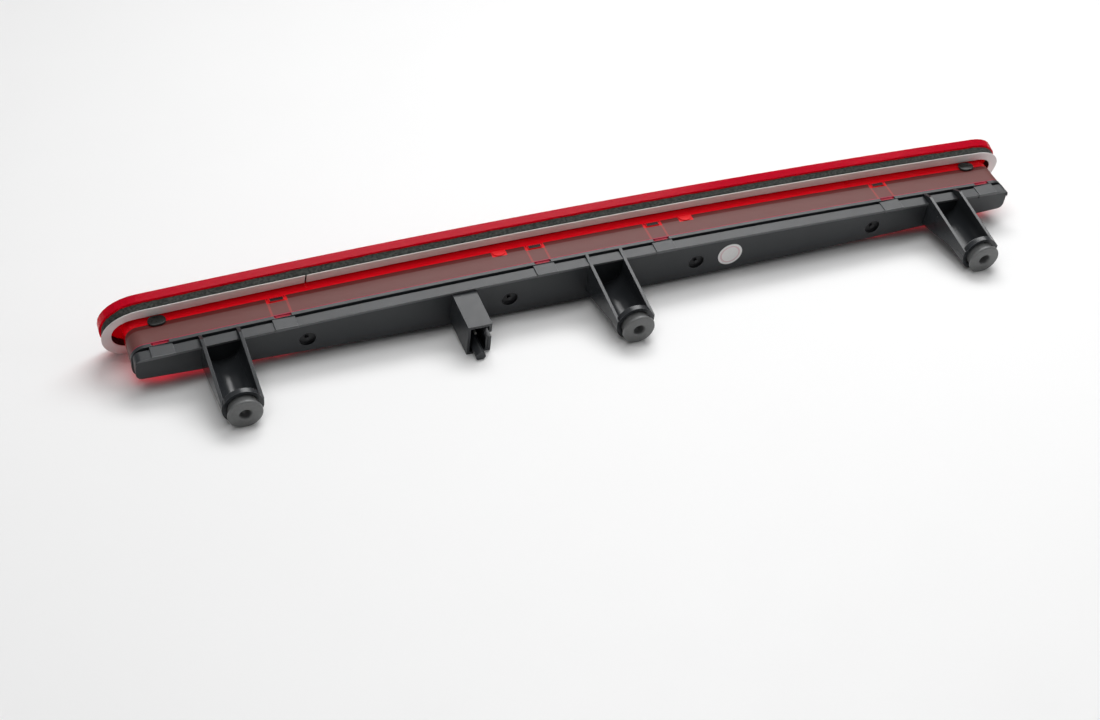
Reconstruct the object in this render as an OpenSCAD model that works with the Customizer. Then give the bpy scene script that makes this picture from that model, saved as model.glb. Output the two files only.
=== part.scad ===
// Third brake light for a tailgate: a long red lens with a foam gasket, a black housing with
// three grommet posts and a two-pin socket, and the lamp unit inside.
// Millimetres. +X runs along the lamp, the lens faces -Y, the posts point to +Y, +Z is up.
// The origin is the centre of the middle grommet's rear face.

/* [Lens flange] */
// Whole length of the lens flange
flange_length = 460; // [440:1:480]
// Half the height of the flange at mid length
flange_half = 21.8; // [21:0.1:24]
// Thickness of the flange
flange_thick = 4; // [3:0.1:5]
// Lean of the flange away from upright, in degrees
flange_tilt = 15; // [10:0.5:17]
// Distance from the grommet faces to the back of the flange
flange_set = 71.5; // [70:0.5:76]
// Height of the flange's middle line against the grommets
flange_drop = -8; // [-9:0.5:-7]

/* [Gasket] */
// Thickness of the foam gasket
foam_thick = 4.4; // [3:0.1:5]
// Thickness of the release liner on the foam
liner_thick = 0.3; // [0.2:0.05:0.5]

/* [Lens body] */
// Length of the lens body behind the flange
body_length = 441; // [430:1:444]
// Half the height of the lens body at mid length
body_half = 13.3; // [12.8:0.1:14]
// Wall thickness of the lens body
wall = 2.2; // [2:0.1:2.6]

/* [Housing] */
// Distance from the grommet faces to the front of the housing
housing_set = 48; // [47:0.2:50]
// Depth of the housing from its front lip to its back face
housing_depth = 7.4; // [7.2:0.2:9]
// Half the height of the housing's back face at mid length
back_half = 10.85; // [10.5:0.05:12]

/* [Posts and grommets] */
// Distance from the middle post to each outer one
post_pitch = 182; // [170:1:186]
// Outside radius of a post's channel
post_r = 9.2; // [8.8:0.1:10]
// Extra length of the two outer posts
post_step = 1.2; // [0:0.1:2]
// Radius of a grommet's outer disc
disc_r = 7.8; // [7.2:0.1:8.2]
// Radius of a grommet's barrel, between its disc and its seat
barrel_r = 6.7; // [6:0.1:6.9]
// Radius of the hole through a grommet
hole_r = 2.5; // [2:0.1:3]

/* [Socket] */
// Distance along the lamp from the middle post to the socket
socket_x = 70.6; // [60:0.5:90]
// Width of the socket shroud
socket_w = 11.4; // [11:0.1:13]
// Height of the socket shroud
socket_h = 16.8; // [16:0.2:18]

/* [Lamp unit] */
// Number of light-emitting diodes
led_count = 16; // [8:2:16]
// Spacing of the light-emitting diodes
led_pitch = 26; // [24:0.5:26]

/* [Hidden] */
$fn = 48;

eps = 0.02;                       // face gap between pieces that touch
arc_steps = 10;                   // straight steps in half of a long shallow arc
corner_steps = 8;                 // straight steps round a corner of a long outline
flange_arc = 6600;                // radius of the flange's long edges
flange_end = 17.6;                // radius of the flange's ends
flange_up = 1.3;                  // the flange sits this much above its middle line
bow_rise = 2;                     // how far the bow stands out at mid length
slab_half = 60;                   // half height of the bowed slab, beyond any outline
ring_length = flange_length - 9.2;
ring_half = 14.6;                 // half height of the gasket's opening
ring_end = 10.2;
ring_up = 2.2;

body_arc = 4950;                  // radius of the body's and the housing's long edges
body_end = 6;                     // corner radius of the body
body_z = -5.7;                    // height of the body's middle line
lip_over = 0.2;                   // the housing's lip stands this far outside the lens
back_z = -3.95;                   // height of the back box's middle line
back_length = body_length - 1;
back_end = 3;
front_y = -housing_set;
back_y = front_y + housing_depth; // rear face of the housing
lip_y = front_y + 1.8;            // rear face of the lip
box_y = lip_y + 1;                // front of the back box, behind the slot
floor_y = back_y - 2.5;           // inside of the back wall
slot_in = 1.6;                    // depth of the slot behind the lip
hollow_in = slot_in + 2;
tongue_y = front_y + 0.7;         // rear edge of the lens's tongue
groove_y = front_y + 1.2;         // bottom of the groove in the lip
bar_high = 1.1;                   // the proud bar along the top of the back face
bar_out = 0.8;

post_wall = 1.5;
post_in = post_r - post_wall;
post_top = 7.2;                   // height of a post's ribs at the back face
post_end = 3.2;                   // height of a post's ribs at the seat
seat_y = -4.7;                    // rear face of the round seat that holds a grommet
seat_thick = 2.5;
neck_r = 5.2;                     // radius of the grommet's neck
neck_gap = 0.1;                   // between the neck and the seat's hole
sink = 0.8;                       // depth of the seat's counterbore round the barrel
sink_gap = 0.6;                   // between the barrel and the counterbore
disc_thick = 1.4;
collar_r = post_in - 0.7;         // radius of the grommet's inner collar
collar_y = -9.4;

socket_top = 5;
socket_y = -17.6;                 // mouth of the shroud
socket_wall = 1.3;
socket_floor = back_y + 7.6;      // bottom of the socket
pin_x = socket_x;
pin_z = [-0.6, -4.6];
pin_w = 1;
peg_r = 2.3;                      // key peg on the socket's lower wall

snap_x = [30, 153, body_length / 2 - 13];  // lens tabs and the lip's gaps for them
tab_w = 6.4;
recess_x = [47.5, 143.5];
recess_r = 3.9;
recess_z = -5.5;
pad_x = body_length / 2 - 14.5;

carrier_y = front_y - 11.7;       // front edge of the carrier
carrier_in = wall + 0.4;
carrier_wall = 1.2;
board_in = carrier_in + carrier_wall + 0.3;
board_y = front_y - 7.3;          // front face of the circuit board
board_thick = 1.55;
board_back = board_y + board_thick;
screw_x = [78, body_length / 2 - 38.5];
led_x0 = -led_pitch * (led_count - 1) / 2;

// ---- outlines, drawn in the XZ plane and pulled along Y ----

// Height of a shallow arc above its middle line at a place along the lamp.
function arc_height(x, half, arc) = half - arc + sqrt(arc * arc - x * x);

// Corner points of a quarter of a long outline, from top middle round to the right end.
function quarter(half, arc, xc, zc, r) =
    let (turn = atan2(zc + arc - half, xc), reach = xc + r * cos(turn))
    concat([for (n = [0 : arc_steps]) let (x = n * reach / arc_steps) [x, arc_height(x, half, arc)]],
           [for (n = [1 : corner_steps]) let (a = turn * (1 - n / corner_steps))
            [xc + r * cos(a), zc + r * sin(a)]]);

function mirrored(points, sx, sz) = [for (p = points) [p[0] * sx, p[1] * sz]];

function backwards(points) = [for (n = [len(points) - 1 : -1 : 1]) points[n]];

// A long outline with shallow arcs above and below and rounded ends, shrunk by inset.
module long_outline(length, half, arc, end, inset = 0) {
    tip_half = half - pow(length / 2, 2) / (2 * arc);
    r = min(max(end - inset, 0.6), tip_half - inset);
    arc_in = arc - inset;
    xc = length / 2 - inset - r;
    zc = sqrt(pow(arc_in - r, 2) - xc * xc) - (arc - half);
    corner = quarter(half - inset, arc_in, xc, zc, r);
    polygon(concat(corner, backwards(mirrored(corner, 1, -1)),
                   mirrored(corner, -1, -1), backwards(mirrored(corner, -1, 1))));
}

module flange_outline(inset = 0) {
    translate([0, flange_up]) long_outline(flange_length, flange_half, flange_arc, flange_end, inset);
}

module ring_opening() {
    translate([0, ring_up]) long_outline(ring_length, ring_half, flange_arc, ring_end);
}

module body_outline(inset = 0) {
    translate([0, body_z]) long_outline(body_length, body_half, body_arc, body_end, inset);
}

module back_outline(inset = 0) {
    translate([0, back_z]) long_outline(back_length, back_half, body_arc, back_end, inset);
}

// Pulls an XZ outline from y0 to y1.
module prism(y0, y1) {
    translate([0, y1, 0]) rotate([90, 0, 0]) linear_extrude(height = y1 - y0) children();
}

// A round bar along Y.
module rod(x, z, r, y0, y1) {
    translate([x, y1, z]) rotate([90, 0, 0]) cylinder(r = r, h = y1 - y0);
}

module block(x0, x1, y0, y1, z0, z1) {
    translate([x0, y0, z0]) cube([x1 - x0, y1 - y0, z1 - z0]);
}

// Height of the lens body's top and bottom faces at a place along the lamp.
function body_top(x) = body_z + body_half - x * x / (2 * body_arc);
function body_bottom(x) = body_z - body_half + x * x / (2 * body_arc);

// ---- the flange's own leaning frame ----

module on_flange() {
    translate([0, -flange_set, flange_drop]) rotate([-flange_tilt, 0, 0]) children();
}

// A slab bowed along the lamp, from y0 to y1 at its ends.
module bowed_slab(y0, y1) {
    reach = flange_length / 2 + 1;
    bow = [for (n = [-arc_steps : arc_steps])
           let (x = n * reach / arc_steps) [x, bow_rise * (pow(x / reach, 2) - 1)]];
    translate([0, 0, -slab_half]) linear_extrude(height = 2 * slab_half)
        polygon(concat([for (p = bow) [p[0], p[1] + y0]],
                       [for (n = [2 * arc_steps : -1 : 0]) [bow[n][0], bow[n][1] + y1]]));
}

module bowed_plate(y0, y1) {
    on_flange() intersection() {
        bowed_slab(y0, y1);
        prism(-20, 20) children();
    }
}

// ---- red lens: flange, walls, tongue and snap tabs in one moulding ----

module outer_lens() {
    color([0.78, 0.05, 0.1]) {
        bowed_plate(-flange_thick, 0) flange_outline();
        difference() {
            prism(-110, front_y) difference() {
                body_outline();
                body_outline(wall);
            }
            on_flange() bowed_slab(-60, -flange_thick / 2);
        }
        prism(front_y - 1, tongue_y) difference() {
            body_outline(0.4);
            body_outline(1.8);
        }
        for (side = [-1, 1], x = snap_x) {
            snap_tab(side * x, body_top(x), 1);
            snap_tab(side * x, body_bottom(x), -1);
        }
        for (side = [-1, 1]) wall_marks(side);
    }
}

// A tab that stands in a gap of the lip.
module snap_tab(x, z, up) {
    low = min(z - up * 0.3, z - up * 1.9);
    block(x - tab_w / 2, x + tab_w / 2, front_y - 1, lip_y - 0.2, low, low + 1.6);
}

// Raised snap windows, half-round bumps and nubs on the top wall.
module wall_marks(side) {
    for (x = [30, 153])
        block(side * x - 3.3, side * x + 3.3, front_y - 11, front_y - 8.8,
              body_top(x) - 1, body_top(x) + 0.5);
    intersection() {
        translate([side * 47.5, front_y - 11.7, body_top(47.5) - 1]) cylinder(r = 3.4, h = 1.4);
        block(side * 47.5 - 5, side * 47.5 + 5, front_y - 11.7, front_y - 5, 0, 20);
    }
    translate([side * 138, front_y - 15, body_top(138) - 1]) cylinder(r = 0.9, h = 1.7);
}

// ---- gasket ----

module gasket_opening() {
    on_flange() prism(-20, 20) ring_opening();
    prism(-110, front_y) body_outline(-0.6);
}

module foam_gasket() {
    color([0.1, 0.1, 0.1]) difference() {
        bowed_plate(eps, foam_thick) flange_outline(0.5);
        gasket_opening();
    }
}

// Paper ring with one cut across its upper leg.
module release_liner() {
    color([0.85, 0.84, 0.8]) difference() {
        bowed_plate(foam_thick + eps, foam_thick + liner_thick) flange_outline(0.1);
        gasket_opening();
        on_flange() block(137.6, 138.4, -5, 20, 5, 40);
    }
}

// ---- black housing ----

module housing() {
    color([0.12, 0.12, 0.13]) {
        difference() {
            union() {
                prism(front_y, lip_y) body_outline(-lip_over);
                prism(front_y, back_y) back_outline(slot_in);
                prism(box_y, back_y) back_outline();
                prism(back_y, back_y + bar_out) difference() {
                    back_outline();
                    translate([0, -bar_high]) back_outline();
                }
                for (side = [-1, 1], x = snap_x) clip_block(side * x);
            }
            prism(front_y - 1, floor_y) back_outline(hollow_in);
            prism(front_y - 1, groove_y) difference() {
                body_outline(0.3);
                body_outline(1.9);
            }
            for (side = [-1, 1], x = snap_x) {
                lip_gap(side * x, body_top(x), 1);
                lip_gap(side * x, body_bottom(x), -1);
            }
            for (side = [-1, 1], x = recess_x) rod(side * x, recess_z, recess_r, back_y - 1.4, back_y + 1);
            for (z = pin_z) pin(z, 0.1);
        }
        for (side = [-1, 1], x = recess_x) rod(side * x, recess_z, 0.9, back_y - 1.6, back_y - 0.3);
    }
}

// The three posts are part of the same moulding, kept as solids of their own.
module posts() {
    color([0.12, 0.12, 0.13]) difference() {
        union() {
            post(0, 0);
            for (side = [-1, 1]) post(side * post_pitch, post_step);
        }
        prism(front_y - 1, lip_y + eps) body_outline(-lip_over - eps);
        prism(lip_y - 1, back_y + eps) back_outline(-eps);
        prism(back_y, back_y + bar_out + eps) difference() {
            back_outline(-eps);
            translate([0, -bar_high - eps]) back_outline();
        }
    }
}

// Height of the back box's top at a place along the lamp.
function box_top(x) = back_z + back_half - x * x / (2 * body_arc);

// A block that bridges the slot behind a snap tab.
module clip_block(x) {
    half_w = tab_w / 2 + 1.9;
    block(x - half_w, x + half_w, lip_y - 0.5, back_y + bar_out + 0.2, box_top(x) - bar_high - 0.5, box_top(x) + 0.5);
}

module lip_gap(x, z, up) {
    low = min(z - up * 2, z + up * 4);
    block(x - tab_w / 2 - 0.8, x + tab_w / 2 + 0.8, front_y - 1, lip_y - 0.1, low, low + 6);
}

// Side rib of a post, seen from the side: it starts at the lip and ends at the seat.
module rib(x, step) {
    start = body_top(x) + lip_over + 0.2;
    translate([x - post_wall / 2, 0, 0]) rotate([90, 0, 90]) linear_extrude(height = post_wall)
        polygon([[back_y - 1, -10], [back_y - 1, back_z], [lip_y, start - 3], [lip_y, start],
                 [back_y, post_top], [seat_y + step, post_end], [seat_y + step, 0], [-16, -3.4]]);
}

module post(x, step) {
    middle_r = post_r - post_wall / 2;
    rib(x - middle_r, step);
    rib(x + middle_r, step);
    translate([x, 0, 0]) {
        prism(back_y - 1, seat_y + step) difference() {
            circle(post_r);
            circle(post_in);
            translate([0, post_r]) square(2 * post_r, center = true);
        }
        difference() {
            rod(0, 0, post_r - 0.1, seat_y + step - seat_thick, seat_y + step);
            rod(0, 0, neck_r + neck_gap, seat_y + step - seat_thick - 1, seat_y + step + 1);
            rod(0, 0, barrel_r + sink_gap, seat_y + step - sink, seat_y + step + 1);
        }
    }
}

// ---- connector shroud, welded on the back face ----

// Open shroud with a latch window in one wall, a rail and a key peg inside.
module socket() {
    x0 = socket_x - socket_w / 2;
    x1 = socket_x + socket_w / 2;
    z0 = socket_top - socket_h;
    color([0.12, 0.12, 0.13]) difference() {
        union() {
            difference() {
                block(x0, x1, back_y + eps, socket_y, z0, socket_top);
                block(x0 + socket_wall, x1 - socket_wall, socket_floor, socket_y + 1,
                      z0 + socket_wall, socket_top - socket_wall);
                block(x0 - 1, x0 + socket_wall + 1, socket_y - 6, socket_y + 1,
                      socket_top - 8, socket_top - 5);
            }
            block(x0 + 0.5, x0 + socket_wall + 1.2, socket_floor - 1, socket_y - 0.3,
                  z0 + 0.5, socket_top - 8);
            rod(socket_x + 1, z0 + socket_wall + peg_r - 0.2, peg_r, socket_floor - 1, socket_y + 6);
        }
        for (z = pin_z) pin(z, 0.1);
    }
}

// ---- grommets ----

module grommet(x, step) {
    color([0.42, 0.42, 0.41]) translate([x, step, 0]) rotate([-90, 0, 0]) rotate_extrude()
        polygon([[hole_r, collar_y], [collar_r - 0.6, collar_y], [collar_r, collar_y + 0.6],
                 [collar_r, seat_y - seat_thick - 0.1], [neck_r, seat_y - seat_thick - 0.1],
                 [neck_r, seat_y - sink + 0.1], [barrel_r, seat_y - sink + 0.1],
                 [barrel_r, -disc_thick], [disc_r, -disc_thick], [disc_r, -0.5],
                 [disc_r - 0.5, 0], [hole_r, 0]]);
}

module grommet_left() {
    grommet(post_pitch, post_step);
}

module grommet_middle() {
    grommet(0, 0);
}

module grommet_right() {
    grommet(-post_pitch, post_step);
}

// ---- lamp unit inside the lens ----

// Frame around the lamp unit, with a ledge and four cross-bars for the board.
module carrier() {
    color([0.2, 0.19, 0.2]) {
        prism(carrier_y, front_y - 0.5) difference() {
            body_outline(carrier_in);
            body_outline(carrier_in + carrier_wall);
        }
        prism(board_back + eps, board_back + 1.3) difference() {
            body_outline(carrier_in + carrier_wall - 0.2);
            body_outline(carrier_in + carrier_wall + 1.6);
        }
        difference() {
            for (side = [-1, 1], x = screw_x)
                intersection() {
                    block(side * x - 3, side * x + 3, board_back + eps, board_back + 2.2, -40, 40);
                    prism(board_back + eps, board_back + 2.2) body_outline(carrier_in + 0.6);
                }
            for (side = [-1, 1], x = screw_x) rod(side * x, body_z, 1.2, board_y, board_y + 9);
        }
    }
}

// Bright plate with a round cup for each light.
module reflector() {
    color([0.8, 0.8, 0.82]) difference() {
        prism(carrier_y + 0.1, board_y - 1.4) body_outline(board_in);
        for (n = [0 : led_count - 1])
            translate([led_x0 + n * led_pitch, board_y, body_z]) rotate([90, 0, 0])
                cylinder(r1 = 3.6, r2 = 5.2, h = 6);
    }
}

module circuit_board() {
    color([0.85, 0.86, 0.84]) difference() {
        prism(board_y, board_back) body_outline(board_in);
        for (side = [-1, 1], x = screw_x) rod(side * x, body_z, 1.35, board_y - 1, board_y + 3);
        for (z = pin_z) pin(z, 0.1);
    }
}

module leds() {
    color([0.9, 0.85, 0.6])
        for (n = [0 : led_count - 1]) {
            x = led_x0 + n * led_pitch;
            block(x - 2.5, x + 2.5, board_y - 1.1, board_y - eps, body_z - 2.5, body_z + 2.5);
            rod(x, body_z, 1.9, board_y - 1.6, board_y - 1);
        }
}

module board_screws() {
    color([0.7, 0.7, 0.68])
        for (side = [-1, 1], x = screw_x)
            difference() {
                union() {
                    rod(side * x, body_z, 2.3, board_y - 1.1, board_y - eps);
                    rod(side * x, body_z, 1.1, board_y - 0.5, board_y + 3.4);
                }
                for (turn = [0, 90])
                    translate([side * x, board_y - 1.1, body_z]) rotate([0, turn, 0])
                        cube([2.6, 1, 0.5], center = true);
            }
}

// Small parts on the back of the board, as plain bodies.
module chip(x, z, size) {
    block(x - size[0] / 2, x + size[0] / 2, board_back + eps, board_back + size[1],
          z - size[2] / 2, z + size[2] / 2);
}

module resistors() {
    color([0.08, 0.08, 0.09])
        for (side = [-1, 1], x = [20, 46, 104, 130]) chip(side * x, body_z - 3, [3.2, 0.7, 1.6]);
}

module diodes() {
    color([0.1, 0.1, 0.1])
        for (x = [54, 60]) chip(x, body_z + 2, [2.8, 2.2, 4.4]);
}

module drivers() {
    color([0.06, 0.06, 0.07])
        for (x = [-33, 33]) chip(x, body_z + 1, [5, 1.6, 4]);
}

module capacitor() {
    color([0.7, 0.7, 0.72]) rod(92, body_z, 2.6, board_back + eps, board_back + 5.4);
}

module pin(z, gap = 0) {
    w = pin_w / 2 + gap;
    block(pin_x - w, pin_x + w, board_y - 0.7 - gap, socket_y - 5, z - w, z + w);
}

module contact_pins() {
    color([0.8, 0.68, 0.35])
        for (z = pin_z) pin(z);
}

// Sealant in the lip's groove, in lengths that stop at the snap tabs.
module seal_bead() {
    tab_gap = tab_w + 0.2;
    color([0.25, 0.25, 0.26]) difference() {
        prism(tongue_y + 0.05, groove_y - eps) difference() {
            body_outline(0.45);
            body_outline(1.75);
        }
        for (side = [-1, 1], x = snap_x)
            translate([side * x, tongue_y, body_z]) cube([tab_gap, 4, 4 * body_half], center = true);
    }
}

// Oval pads on the top wall near the ends.
module end_pads() {
    lean = atan(pad_x / body_arc);
    color([0.07, 0.08, 0.08])
        for (side = [-1, 1])
            translate([side * pad_x, front_y - 12.4, body_top(pad_x) + eps]) rotate([0, side * lean, 0])
                linear_extrude(height = 1.1) {
                    square([2.3, 5.9], center = true);
                    for (end = [-1, 1]) translate([end * 1.15, 0]) circle(2.95);
                }
}

// Blank round sticker on the back face.
module label() {
    color([0.93, 0.93, 0.92]) rod(-65.3, -4.7, 6.3, back_y + eps, back_y + 0.15);
}

outer_lens();
foam_gasket();
release_liner();
housing();
grommet_left();
grommet_middle();
grommet_right();
carrier();
reflector();
circuit_board();
leds();
board_screws();
resistors();
diodes();
drivers();
capacitor();
posts();
socket();
contact_pins();
seal_bead();
end_pads();
label();
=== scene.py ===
from math import atan, pi

import bpy
from mathutils import Matrix, Vector


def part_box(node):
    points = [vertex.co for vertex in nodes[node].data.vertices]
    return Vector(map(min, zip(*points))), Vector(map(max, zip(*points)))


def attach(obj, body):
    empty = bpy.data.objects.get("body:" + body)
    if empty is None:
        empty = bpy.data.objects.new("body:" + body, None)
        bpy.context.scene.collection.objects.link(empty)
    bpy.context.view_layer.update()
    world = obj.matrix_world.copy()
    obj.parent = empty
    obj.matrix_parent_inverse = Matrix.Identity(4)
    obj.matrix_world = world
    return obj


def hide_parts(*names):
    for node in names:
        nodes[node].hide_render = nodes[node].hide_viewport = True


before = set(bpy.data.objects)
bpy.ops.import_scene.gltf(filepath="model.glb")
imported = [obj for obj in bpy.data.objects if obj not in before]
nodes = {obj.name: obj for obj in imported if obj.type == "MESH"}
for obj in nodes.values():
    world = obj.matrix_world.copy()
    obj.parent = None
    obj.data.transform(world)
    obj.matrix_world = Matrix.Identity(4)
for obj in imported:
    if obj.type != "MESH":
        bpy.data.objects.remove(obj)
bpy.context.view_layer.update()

# ---- Camera ----
# Behind and above the lamp, looking forward and down at its posts and back face. The vectors
# are the picture's right and up directions, and the place where the camera stands.
right = Vector((-0.93050, 0.35541, 0.08860))
up = Vector((-0.19658, -0.68864, 0.69795))
stand = Vector((0.29510, 0.51573, 0.57272))
camera = bpy.data.objects.new("camera", bpy.data.cameras.new("camera"))
bpy.context.scene.collection.objects.link(camera)
camera.data.sensor_width = 36
camera.data.lens = 59.48
camera.data.clip_start = 0.01
turn = Matrix((right, up, right.cross(up))).transposed().to_4x4()
camera.matrix_world = Matrix.Translation(stand) @ turn
bpy.context.scene.camera = camera
bpy.context.scene.view_settings.view_transform = "Standard"

# ---- Table ----
# A pale matt table top. The lamp lies on the rear rims of its outer grommets and on the lower
# edge of its flange, so the table leans against the lamp's own frame.
rest_back = Vector((0, 0.0012, -0.0074))
rest_front = Vector((0, -0.0826, -0.02625))
table_size = 8
table_grey = (0.83, 0.83, 0.83, 1)
table_white = (0.87, 0.87, 0.87, 1)


class Value:
    """A shader socket that can be used in arithmetic."""

    def __init__(self, socket):
        self.socket = socket

    def join(self, operation, first, second):
        tree = self.socket.node.id_data
        maths = tree.nodes.new("ShaderNodeMath")
        maths.operation = operation
        for slot, term in zip(maths.inputs, (first, second)):
            if isinstance(term, Value):
                tree.links.new(term.socket, slot)
            else:
                slot.default_value = term
        return Value(maths.outputs[0])

    def __add__(self, other):
        return self.join("ADD", self, other)

    def __radd__(self, other):
        return self.join("ADD", other, self)

    def __sub__(self, other):
        return self.join("SUBTRACT", self, other)

    def __rsub__(self, other):
        return self.join("SUBTRACT", other, self)

    def __mul__(self, other):
        return self.join("MULTIPLY", self, other)

    def __rmul__(self, other):
        return self.join("MULTIPLY", other, self)

    def __abs__(self):
        return self.join("ABSOLUTE", self, 0)

    def __mod__(self, other):
        return self.join("FLOORED_MODULO", self, other)

    def __gt__(self, other):
        return self.join("GREATER_THAN", self, other)

    def __lt__(self, other):
        return self.join("LESS_THAN", self, other)


class Finish:
    """One material, built on its Principled shader."""

    def __init__(self, name):
        self.material = bpy.data.materials.new(name)
        self.material.use_nodes = True
        self.tree = self.material.node_tree
        self.shader = self.tree.nodes["Principled BSDF"]
        self.place = self.node("ShaderNodeTexCoord", out="Object")

    def fill(self, slots, sockets):
        by_name = {slot.identifier: slot for slot in slots}
        for name, term in sockets.items():
            if isinstance(term, Value):
                self.tree.links.new(term.socket, by_name[name])
            else:
                by_name[name].default_value = term

    def node(self, kind, settings=None, sockets=None, out=None):
        made = self.tree.nodes.new(kind)
        for name, setting in (settings or {}).items():
            setattr(made, name, setting)
        self.fill(made.inputs, sockets or {})
        outputs = {slot.identifier: slot for slot in made.outputs}
        return Value(outputs[out] if out else made.outputs[0])

    def axis(self, name, vector=None):
        """One part of a vector, which is the place on the surface if none is given."""
        return self.node("ShaderNodeSeparateXYZ", None, {"Vector": vector or self.place}, name)

    def noise(self, size, detail=3.0):
        """Cloudy noise from 0 to 1 whose patches are about this size in metres."""
        return self.node("ShaderNodeTexNoise", None,
                         {"Vector": self.place, "Scale": 1 / size, "Detail": detail})

    def ramp(self, value, start, end):
        """0 below start and 1 above end, with an even slope between."""
        return self.node("ShaderNodeMapRange", None,
                         {"Value": value, "From Min": start, "From Max": end})

    def mix(self, amount, first, second):
        return self.node("ShaderNodeMix", {"data_type": "RGBA"},
                         {"Factor_Float": amount, "A_Color": first, "B_Color": second},
                         "Result_Color")

    def rounded(self, radius):
        """The surface's normal, with sharp edges rounded to this radius in metres."""
        return self.node("ShaderNodeBevel", {"samples": 6}, {"Radius": radius})

    def surface(self, sockets):
        self.fill(self.shader.inputs, sockets)

    def relief(self, height, depth, edge=0.0):
        """Bumps of this depth in metres, on edges that read as rounded to this radius."""
        sockets = {"Height": height, "Distance": depth}
        if edge:
            sockets["Normal"] = self.rounded(edge)
        self.surface({"Normal": self.node("ShaderNodeBump", None, sockets)})

    def cover(self, piece):
        piece.data.materials.clear()
        piece.data.materials.append(self.material)


lean = atan((rest_back.z - rest_front.z) / (rest_back.y - rest_front.y))
bpy.ops.object.select_all(action="DESELECT")
bpy.ops.mesh.primitive_plane_add(size=table_size)
table = bpy.context.object
table.name = "table"
table.data.transform(Matrix.Translation(rest_back) @ Matrix.Rotation(lean, 4, "X"))
paint = Finish("table_paint")
paint.surface({"Base Color": paint.mix(paint.noise(0.4), table_grey, table_white),
               "Roughness": paint.noise(0.03) * 0.1 + 0.5})
paint.relief(paint.noise(0.002), 0.00002)
paint.cover(table)

# ---- Studio light ----
# A long soft box over the lamp, one behind it for the glossy upward faces, a small one beside
# the camera, a wide ceiling panel that keeps the table even, and a dim white room.
room = bpy.data.worlds.new("room")
room.use_nodes = True
room.node_tree.nodes["Background"].inputs["Color"].default_value = (1, 1, 1, 1)
room.node_tree.nodes["Background"].inputs["Strength"].default_value = 0.19
bpy.context.scene.world = room


def soft_box(name, place, size, watts):
    """A rectangular area light that faces the lamp from its place."""
    box = bpy.data.lights.new(name, "AREA")
    box.shape = "RECTANGLE"
    box.size, box.size_y = size
    box.energy = watts
    holder = bpy.data.objects.new(name, box)
    bpy.context.scene.collection.objects.link(holder)
    facing = Vector(place).to_track_quat("Z", "Y").to_matrix().to_4x4()
    holder.matrix_world = Matrix.Translation(place) @ facing


soft_box("ceiling_panel", place=(0, -0.4, 2.6), size=(6, 6), watts=16)
soft_box("top_box", place=(0.10, -0.24, 1.1), size=(1.4, 0.26), watts=6)
soft_box("back_box", place=(-0.45, -0.80, 0.85), size=(1.1, 0.5), watts=10)
soft_box("side_box", place=(-0.9, 0.5, 0.8), size=(0.5, 0.9), watts=1.5)

# ---- Housing and socket ----
# The rear half of the lamp and the plug's shroud on its back face, in black satin nylon. The
# mould left a fine even grain, and the sharp edges carry a painted highlight in a lighter colour.
satin = 0.34                      # roughness
round_edge_width = 0.00028
highlight_starts = 0.04                 # how far an edge turns where the painted highlight starts
highlight_full = 0.4                    # and where the painted highlight is full
nylon_dark = (0.020, 0.022, 0.025, 1)
nylon_light = (0.028, 0.031, 0.034, 1)
# colour of the painted highlight on the sharp edges
nylon_highlight = (0.24, 0.25, 0.26, 1)

long_arc = 4.95                   # radius of the housing's long edges
back_top = 0.0069                 # top of the back face at mid length
back_face = -0.0407               # just in front of the back face
bar_face = -0.0399                # just in front of the proud bar along its top
bar_high = 0.0011
shade_high = 0.0018               # the shade under the bar ends this far below the top
recess_x = (0.0475, 0.1435)
recess_z = -0.0055
recess_r = 0.0039
# painted highlight on the proud bar, and painted shade under it and in the recesses
bar_highlight_grey = (0.17, 0.175, 0.18, 1)
corner_shade = (0.004, 0.004, 0.005, 1)
recess_shade = (0.003, 0.003, 0.004, 1)


def nylon_finish(name, roughness, painted_light=None):
    nylon = Finish(name)
    flat = nylon.node("ShaderNodeNewGeometry", out="Normal")
    turned = nylon.node("ShaderNodeVectorMath", {"operation": "DOT_PRODUCT"},
                        {"Vector": nylon.rounded(round_edge_width), "Vector_001": flat}, "Value")
    # Painted highlight: edges where the rounded normal turns away from the flat one are painted
    # lighter.
    edge_highlight = nylon.ramp(1 - turned, highlight_starts, highlight_full) * (0.3 + nylon.noise(0.006))
    mottled = nylon.mix(nylon.noise(0.02), nylon_dark, nylon_light)
    colour = nylon.mix(edge_highlight, mottled, nylon_highlight)
    # painted shade and highlight, where a finish is given them
    if painted_light:
        colour = painted_light(nylon, colour)
    nylon.surface({"Base Color": colour, "Roughness": nylon.noise(0.004) * 0.1 + roughness,
                   "Specular IOR Level": 0.4})
    nylon.relief(nylon.noise(0.0005, 2.0), 0.00001, round_edge_width)
    return nylon


def nearer(finish, across, places):
    """How far along the lamp the nearer of two places is, on either side of the middle."""
    first, second = places
    return finish.node("ShaderNodeMath", {"operation": "MINIMUM"},
                       {"Value": abs(across - first), "Value_001": abs(across - second)})


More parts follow.
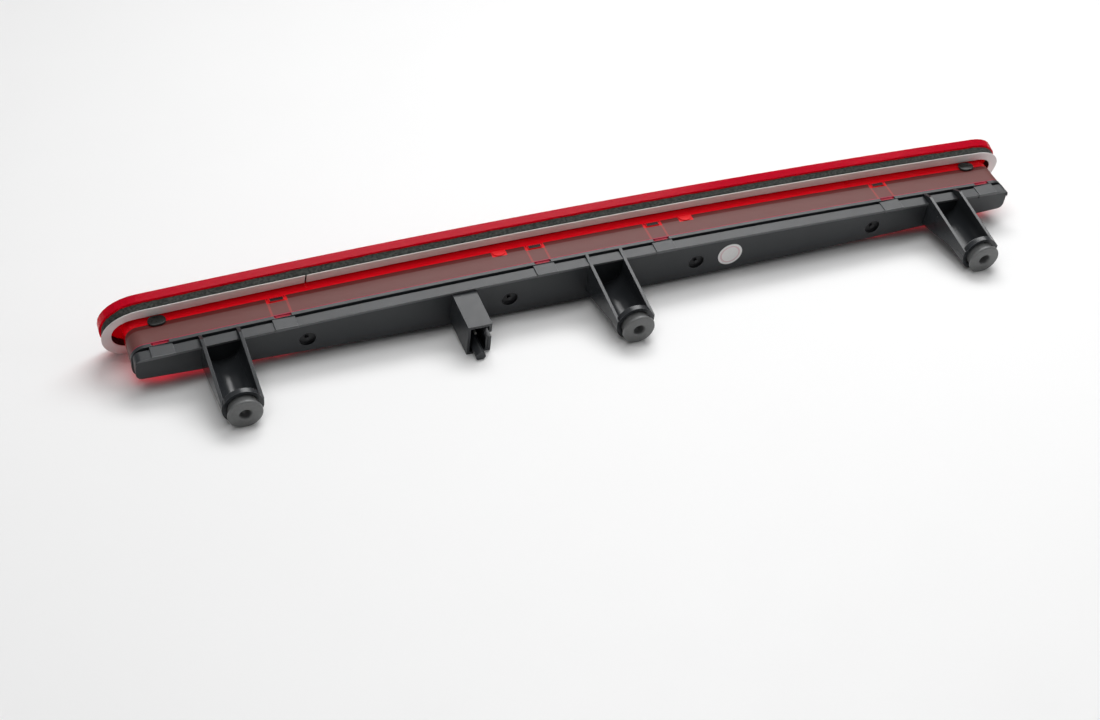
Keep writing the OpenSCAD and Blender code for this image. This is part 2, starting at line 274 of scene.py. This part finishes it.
def housing_painted_light(nylon, colour):
    """Painted shade in the corner under the proud bar and in the round recesses, and a painted
    highlight on the bar.
    """
    across = abs(nylon.axis("X"))
    back = nylon.axis("Y")
    high = nylon.axis("Z")
    below_top = back_top - high - across * across * (0.5 / long_arc)
    lit_bar = (back > bar_face) * (below_top < bar_high)
    corner = (back > back_face) * (below_top > bar_high) * (below_top < shade_high)
    sideways = nearer(nylon, across, recess_x)
    down = high - recess_z
    in_circle = (sideways * sideways + down * down) < recess_r * recess_r
    # Painted shade under the bar and in the recesses, then a painted highlight on the bar.
    colour = nylon.mix(corner * 0.8, colour, corner_shade)
    colour = nylon.mix(in_circle * (back < back_face) * 0.75, colour, recess_shade)
    return nylon.mix(lit_bar * 0.5, colour, bar_highlight_grey)


nylon_finish("satin_nylon", satin, housing_painted_light).cover(nodes["housing"])
nylon_finish("socket_nylon", satin).cover(nodes["socket"])

# ---- Posts ----
# Three half-round channels in the same black nylon, each ending in a round seat for a grommet.
# The core pin of the mould was polished, so they are glossier than the rest of the housing.
polished = 0.2                    # roughness
nylon_finish("glossy_nylon", polished).cover(nodes["posts"])

# ---- Red lens ----
# Clear red acrylic, moulded in one piece. Its walls are clear next to the gasket and frosted
# over the carrier, and windows in the top wall show the carrier's black catches.
acrylic_ior = 1.49
flange_slope = 0.268              # the flange leans back by this much for each unit of height
bright_from = -0.0665             # the wall painted a brighter red begins here, inside the gasket, at z = 0
flange_red = (0.50, 0.004, 0.030, 1)
lit_wall_red = (0.95, 0.004, 0.014, 1)
clear_red = (0.9, 0.02, 0.05, 1)
flute_pitch = 0.003
faces_front = -0.9                # a normal's Y below this is the lens's front face
faces_down = -0.7                 # and a normal's Z below this is an underside

frost_front = -0.0597             # the frosted film's front edge and its slight waver
frost_waver = 0.0002
frost_back = -0.0479
strip_back = -0.0572              # rear edge of the painted shade strip along the carrier's front edge
line_wide = 0.0007                # red line along the film's rear edge
shade_strip_brown = (0.11, 0.016, 0.014, 1)
frost_brown = (0.15, 0.068, 0.062, 1)
cloud_brown = (0.16, 0.030, 0.030, 1)
line_red = (0.34, 0.03, 0.06, 1)
tongue_red = (0.30, 0.004, 0.020, 1)

snap_x = (0.030, 0.153)
snap_half = 0.0048                # half the width of a snap window and its two side lines
side_line_in = 0.0038
window_back = -0.0564
rib_pitch = 0.0011
rib_gap = 0.0006
rib_back = -0.0586
catch_half = 0.0030
catch_middle = -0.0578
catch_deep = 0.0009
bump_x = 0.0475
bump_half = 0.0036
bump_back = -0.0563
side_line_red = (0.40, 0.060, 0.055, 1)
window_red = (0.72, 0.006, 0.012, 1)
rib_red = (0.25, 0.004, 0.008, 1)
catch_black = (0.018, 0.010, 0.010, 1)
bump_red = (0.80, 0.010, 0.016, 1)
no_light = (0, 0, 0, 1)

acrylic = Finish("red_acrylic")
across = abs(acrylic.axis("X"))
back = acrylic.axis("Y")
high = acrylic.axis("Z")
facing = acrylic.node("ShaderNodeNewGeometry", out="Normal")
behind_flange = (back - high * flange_slope) > bright_from
# Painted light: behind the flange the wall is painted a brighter red for light entering through
# the lens front.
acrylic.surface({"Base Color": acrylic.mix(behind_flange, flange_red, lit_wall_red),
                 "Roughness": 0.14, "IOR": acrylic_ior, "Specular IOR Level": 0.14})
front = acrylic.axis("Y", facing) < faces_front
flutes = abs(across % flute_pitch - flute_pitch / 2) * (2 / flute_pitch) * front
acrylic.relief(flutes + acrylic.noise(0.003) * 0.1, 0.0002, 0.0003)
tint = acrylic.node("ShaderNodeBsdfTransparent", None, {"Color": clear_red})
clear = acrylic.node("ShaderNodeMixShader", None,
                     {"Fac": 0.5 - behind_flange * 0.25,
                      "Shader": Value(acrylic.shader.outputs[0]), "Shader_001": tint})

from_snap = nearer(acrylic, across, snap_x)
side_line = (from_snap < snap_half) * (from_snap > side_line_in) * (back < frost_back)
window = (from_snap < snap_half) * (back < window_back)
ribs = window * ((across % rib_pitch) > rib_gap) * (back < rib_back)
catch = (from_snap < catch_half) * (abs(back - catch_middle) < catch_deep)
bump = (abs(across - bump_x) < bump_half) * (back < bump_back)
# Painted shade: a darker strip along the carrier's front edge, then the frosted brown behind it.
film = acrylic.mix(back > strip_back, shade_strip_brown, frost_brown)
for mask, colour in ((acrylic.noise(0.012) * 0.4, cloud_brown),
                     (back > frost_back - line_wide, line_red),
                     (back > frost_back, tongue_red),
                     (side_line * 0.55, side_line_red),
                     (window, window_red),
                     (ribs, rib_red),
                     (catch, catch_black),
                     (bump, bump_red)):
    film = acrylic.mix(mask, film, colour)

# A painted red glow (emission) on the lens's downward faces, standing in for red light that
# gathers under the lens.
underside = (acrylic.axis("Z", facing) < faces_down) * (high < 0)
frost = acrylic.node("ShaderNodeBsdfPrincipled", None,
                     {"Base Color": film, "Roughness": 0.4, "IOR": acrylic_ior,
                      "Specular IOR Level": 0.12, "Normal": acrylic.rounded(0.0003),
                      "Emission Color": acrylic.mix(underside, no_light, clear_red),
                      "Emission Strength": 0.9}, "BSDF")
frosted = back > frost_front + acrylic.noise(0.01) * frost_waver
whole = acrylic.node("ShaderNodeMixShader", None,
                     {"Fac": frosted, "Shader": clear, "Shader_001": frost})
acrylic.fill(acrylic.tree.nodes["Material Output"].inputs, {"Surface": whole})
acrylic.cover(nodes["outer_lens"])

# ---- Foam gasket ----
# A ring of grey-green closed-cell foam, die-cut from sheet and stuck to the back of the flange.
# Its cut sides are slightly uneven and its skin is full of fine open cells.
voxel_size = 0.0007
lump_size = 0.006
lump_deep = 0.0004
foam_black = (0.016, 0.018, 0.016, 1)
foam_grey = (0.062, 0.066, 0.061, 1)
foam_green = (0.040, 0.046, 0.040, 1)


def copied(name, node):
    """A new piece with a merged copy of a node's mesh, as the active object."""
    bpy.ops.object.select_all(action="DESELECT")
    piece = bpy.data.objects.new(name, nodes[node].data.copy())
    bpy.context.scene.collection.objects.link(piece)
    piece.select_set(True)
    bpy.context.view_layer.objects.active = piece
    bpy.ops.object.mode_set(mode="EDIT")
    bpy.ops.mesh.select_all(action="SELECT")
    bpy.ops.mesh.remove_doubles(threshold=0.000005)
    bpy.ops.object.mode_set(mode="OBJECT")
    return piece


def shape(piece, name, kind, **settings):
    """Adds a modifier with these settings and applies it."""
    modifier = piece.modifiers.new(name, kind)
    for setting, value in settings.items():
        setattr(modifier, setting, value)
    bpy.ops.object.modifier_apply(modifier=name)


foam = copied("foam_strip", "foam_gasket")
lumps = bpy.data.textures.new("lumps", "CLOUDS")
lumps.noise_scale = lump_size
shape(foam, "voxels", "REMESH", mode="VOXEL", voxel_size=voxel_size)
shape(foam, "softness", "SMOOTH", factor=0.5, iterations=3)
shape(foam, "uneven", "DISPLACE", texture=lumps, texture_coords="LOCAL", mid_level=1.0,
      strength=lump_deep)
bpy.ops.object.shade_smooth()
cells = Finish("foam_cells")
pits = cells.noise(0.0006, 4.0)
open_cells = cells.ramp(cells.noise(0.0011, 2.0), 0.35, 0.65)
speckled = cells.mix(open_cells, foam_black, foam_grey)
cells.surface({"Base Color": cells.mix(cells.noise(0.008) * 0.4, speckled, foam_green),
               "Roughness": pits * 0.2 + 0.75, "Specular IOR Level": 0.15})
cells.relief(pits, 0.0003)
cells.cover(foam)
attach(foam, "root")
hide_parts("foam_gasket")

# ---- Release liner ----
# Waxed paper that still covers the gasket's adhesive, cut once across its upper leg.
# The paper is warm grey, whiter at the ends, with soft waves where it has lifted.
ends_from = 0.17                  # where the whiter ends begin and where they are whitest
ends_full = 0.215
paper_grey = (0.68, 0.66, 0.62, 1)
paper_warm = (0.78, 0.75, 0.71, 1)
paper_white = (0.74, 0.72, 0.72, 1)
paper = Finish("waxed_paper")
ends = paper.ramp(abs(paper.axis("X")), ends_from, ends_full)
fibres = paper.noise(0.0015, 6.0)
warm = paper.mix(fibres, paper_grey, paper_warm)
paper.surface({"Base Color": paper.mix(ends * 0.8, warm, paper_white),
               "Roughness": fibres * 0.15 + 0.4, "Specular IOR Level": 0.35})
paper.relief(paper.noise(0.02, 1.0) * 6 + fibres * 0.1, 0.00012, 0.00008)
paper.cover(nodes["release_liner"])

# ---- Grommets ----
# Three grey rubber bushings that snap into the post seats: a thin outer disc, a barrel, a neck in
# the seat's hole and a collar inside the channel. The mould left a chamfered hole and soft rims.
hole_r = 0.0025
neck_r = 0.0052
disc_r = 0.0078
barrel_r = 0.0067
collar_r = 0.0070
disc_front = -0.0014
barrel_front = -0.0054
seat_front = -0.0073
collar_front = -0.0094
hole_chamfer = 0.0005
chamfer_deep = 0.0006
disc_rim = 0.0004
collar_rim = 0.0006
rim_round = 0.0003
crease = pi / 5                   # edges that turn more than this stay sharp


def grained(name, size, detail, dark, light, roughness, spread, depth, edge=0.0, metallic=0.0):
    """A finish whose colour, roughness and relief follow one fine grain."""
    finish = Finish(name)
    grain = finish.noise(size, detail)
    finish.surface({"Base Color": finish.mix(grain, (*dark, 1), (*light, 1)),
                    "Roughness": grain * spread + roughness, "Metallic": metallic})
    finish.relief(grain, depth, edge)
    return finish


rubber = grained("grommet_rubber", size=0.0012, detail=5.0, dark=(0.095, 0.098, 0.098),
                 light=(0.150, 0.153, 0.152), roughness=0.25, spread=0.2, depth=0.00002)


def grommet(name, node):
    """Draws the profile outwards, round and back through the hole, ring by ring."""
    low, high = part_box(node)
    x = (low.x + high.x) / 2
    radius = hole_r
    y = high.y - chamfer_deep
    outline = [(hole_r + hole_chamfer, 0), (disc_r - disc_rim, 0), (disc_r, -disc_rim),
               (disc_r, disc_front), (barrel_r, disc_front), (barrel_r, barrel_front),
               (neck_r, barrel_front), (neck_r, seat_front), (collar_r, seat_front),
               (collar_r, collar_front + collar_rim), (collar_r - collar_rim, collar_front),
               (hole_r, collar_front), (hole_r, -chamfer_deep)]
    bpy.ops.object.select_all(action="DESELECT")
    bpy.ops.mesh.primitive_circle_add(vertices=96, radius=radius, location=(x, y, 0),
                                      rotation=(pi / 2, 0, 0))
    piece = bpy.context.object
    piece.name = name
    bpy.ops.object.transform_apply(location=True, rotation=True, scale=True)
    bpy.ops.object.mode_set(mode="EDIT")
    bpy.ops.mesh.select_all(action="SELECT")
    for next_radius, from_face in outline:
        ratio = next_radius / radius
        bpy.ops.mesh.extrude_region_move()
        bpy.ops.transform.resize(value=(ratio, 1, ratio), center_override=(x, y, 0))
        bpy.ops.transform.translate(value=(0, high.y + from_face - y, 0))
        radius = next_radius
        y = high.y + from_face
    bpy.ops.mesh.select_all(action="SELECT")
    bpy.ops.mesh.remove_doubles(threshold=0.00001)
    bpy.ops.mesh.normals_make_consistent(inside=False)
    bpy.ops.object.mode_set(mode="OBJECT")
    shape(piece, "rim", "BEVEL", width=rim_round, segments=3, limit_method="ANGLE")
    bpy.ops.object.shade_smooth_by_angle(angle=crease)
    rubber.cover(piece)
    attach(piece, "root")
    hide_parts(node)


for side in ("left", "middle", "right"):
    grommet("bushing_" + side, "grommet_" + side)

# ---- End pads ----
# Two oval rubber pads with rounded upper edges. They are glued on the lens's top wall, one near
# each end.
crown_round = 0.0004
pads = copied("pad_pair", "end_pads")
bpy.ops.object.mode_set(mode="EDIT")
bpy.ops.mesh.dissolve_limited(angle_limit=0.02)
bpy.ops.object.mode_set(mode="OBJECT")
shape(pads, "crown", "BEVEL", width=crown_round, segments=3, limit_method="ANGLE")
bpy.ops.object.shade_smooth_by_angle(angle=crease)
soft_black = grained("pad_rubber", size=0.001, detail=5.0, dark=(0.006, 0.008, 0.007),
                     light=(0.018, 0.022, 0.020), roughness=0.2, spread=0.2, depth=0.00003)
soft_black.cover(pads)
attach(pads, "root")
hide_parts("end_pads")

# ---- Label ----
# A blank round paper sticker, stuck by hand on the housing's back face, with a faint printed
# ring near its rim.
sticker_middle = (-0.0653, -0.0405, -0.0047)
ring_r = 0.0048
ring_half = 0.0004
pulp_grey = (0.70, 0.69, 0.68, 1)
pulp_white = (0.80, 0.79, 0.78, 1)
ring_pink = (0.62, 0.36, 0.40, 1)
sticker = Finish("sticker_paper")
from_middle = sticker.node("ShaderNodeVectorMath", {"operation": "DISTANCE"},
                           {"Vector": sticker.place, "Vector_001": sticker_middle}, "Value")
ring = abs(from_middle - ring_r) < ring_half
pulp = sticker.noise(0.0008, 5.0)
white = sticker.mix(pulp, pulp_grey, pulp_white)
sticker.surface({"Base Color": sticker.mix(ring * 0.6, white, ring_pink),
                 "Roughness": pulp * 0.2 + 0.45})
sticker.relief(pulp, 0.00001)
sticker.cover(nodes["label"])

# ---- Contact pins ----
# Two square brass pins, pressed through the housing's back wall into the board. They are
# tin-plated where the plug grips them, with fine drawing marks.
tin = grained("tinned_brass", size=0.0004, detail=4.0, dark=(0.58, 0.56, 0.52),
              light=(0.74, 0.72, 0.68), roughness=0.25, spread=0.15, depth=0.000008,
              metallic=1.0)
tin.cover(nodes["contact_pins"])

# ---- Carrier and reflector ----
# The lamp unit's frame is dark moulded plastic. The plate in front of the board is plastic too,
# vacuum-coated with bright aluminium, so its cups throw the light forwards.
frame_dark = (0.030, 0.028, 0.030, 1)
frame_light = (0.050, 0.046, 0.050, 1)
frame_plastic = Finish("frame_plastic")
swirl = frame_plastic.noise(0.006)
frame_plastic.surface({"Base Color": frame_plastic.mix(swirl, frame_dark, frame_light),
                       "Roughness": swirl * 0.1 + 0.4})
frame_plastic.relief(frame_plastic.noise(0.0006), 0.00001, 0.0002)
frame_plastic.cover(nodes["carrier"])
mirror = grained("mirror_coat", size=0.004, detail=3.0, dark=(0.82, 0.82, 0.84),
                 light=(0.90, 0.90, 0.91), roughness=0.1, spread=0.12, depth=0.00002,
                 edge=0.0002, metallic=1.0)
mirror.cover(nodes["reflector"])

# ---- Circuit board and its parts ----
# A white-masked board screwed to the carrier. Surface-mount lights sit on its front, with small
# black parts and one aluminium capacitor soldered on its back.
led_front = -0.0564               # the lights' yellow faces are in front of this
led_shade = (0.70, 0.66, 0.52, 1)
led_cream = (0.80, 0.77, 0.64, 1)
led_yellow = (0.75, 0.52, 0.10, 1)
mask_white = grained("board_mask", size=0.0009, detail=4.0, dark=(0.68, 0.70, 0.66),
                     light=(0.78, 0.79, 0.76), roughness=0.35, spread=0.15, depth=0.00001)
mask_white.cover(nodes["circuit_board"])
led = Finish("led_body")
resin = led.noise(0.0008)
body = led.mix(resin, led_shade, led_cream)
led.surface({"Base Color": led.mix(led.axis("Y") < led_front, body, led_yellow),
             "Roughness": resin * 0.2 + 0.25})
led.relief(resin, 0.00001)
led.cover(nodes["leds"])
epoxy = grained("black_epoxy", size=0.0005, detail=4.0, dark=(0.012, 0.012, 0.014),
                light=(0.040, 0.040, 0.043), roughness=0.4, spread=0.2, depth=0.00001,
                edge=0.0001)
for name in ("resistors", "diodes", "drivers"):
    epoxy.cover(nodes[name])
metal = grained("bright_metal", size=0.0006, detail=4.0, dark=(0.50, 0.50, 0.50),
                light=(0.68, 0.68, 0.67), roughness=0.25, spread=0.2, depth=0.00001,
                edge=0.0001, metallic=1.0)
for name in ("board_screws", "capacitor"):
    metal.cover(nodes[name])

# ---- Seal bead ----
# Grey silicone, run along the groove between the lens and the housing before they were joined,
# in lengths that stop at the lens's tabs. It has cured with a soft ripple.
silicone = grained("silicone", size=0.002, detail=3.0, dark=(0.045, 0.045, 0.048),
                   light=(0.075, 0.075, 0.080), roughness=0.35, spread=0.2, depth=0.00005)
silicone.cover(nodes["seal_bead"])
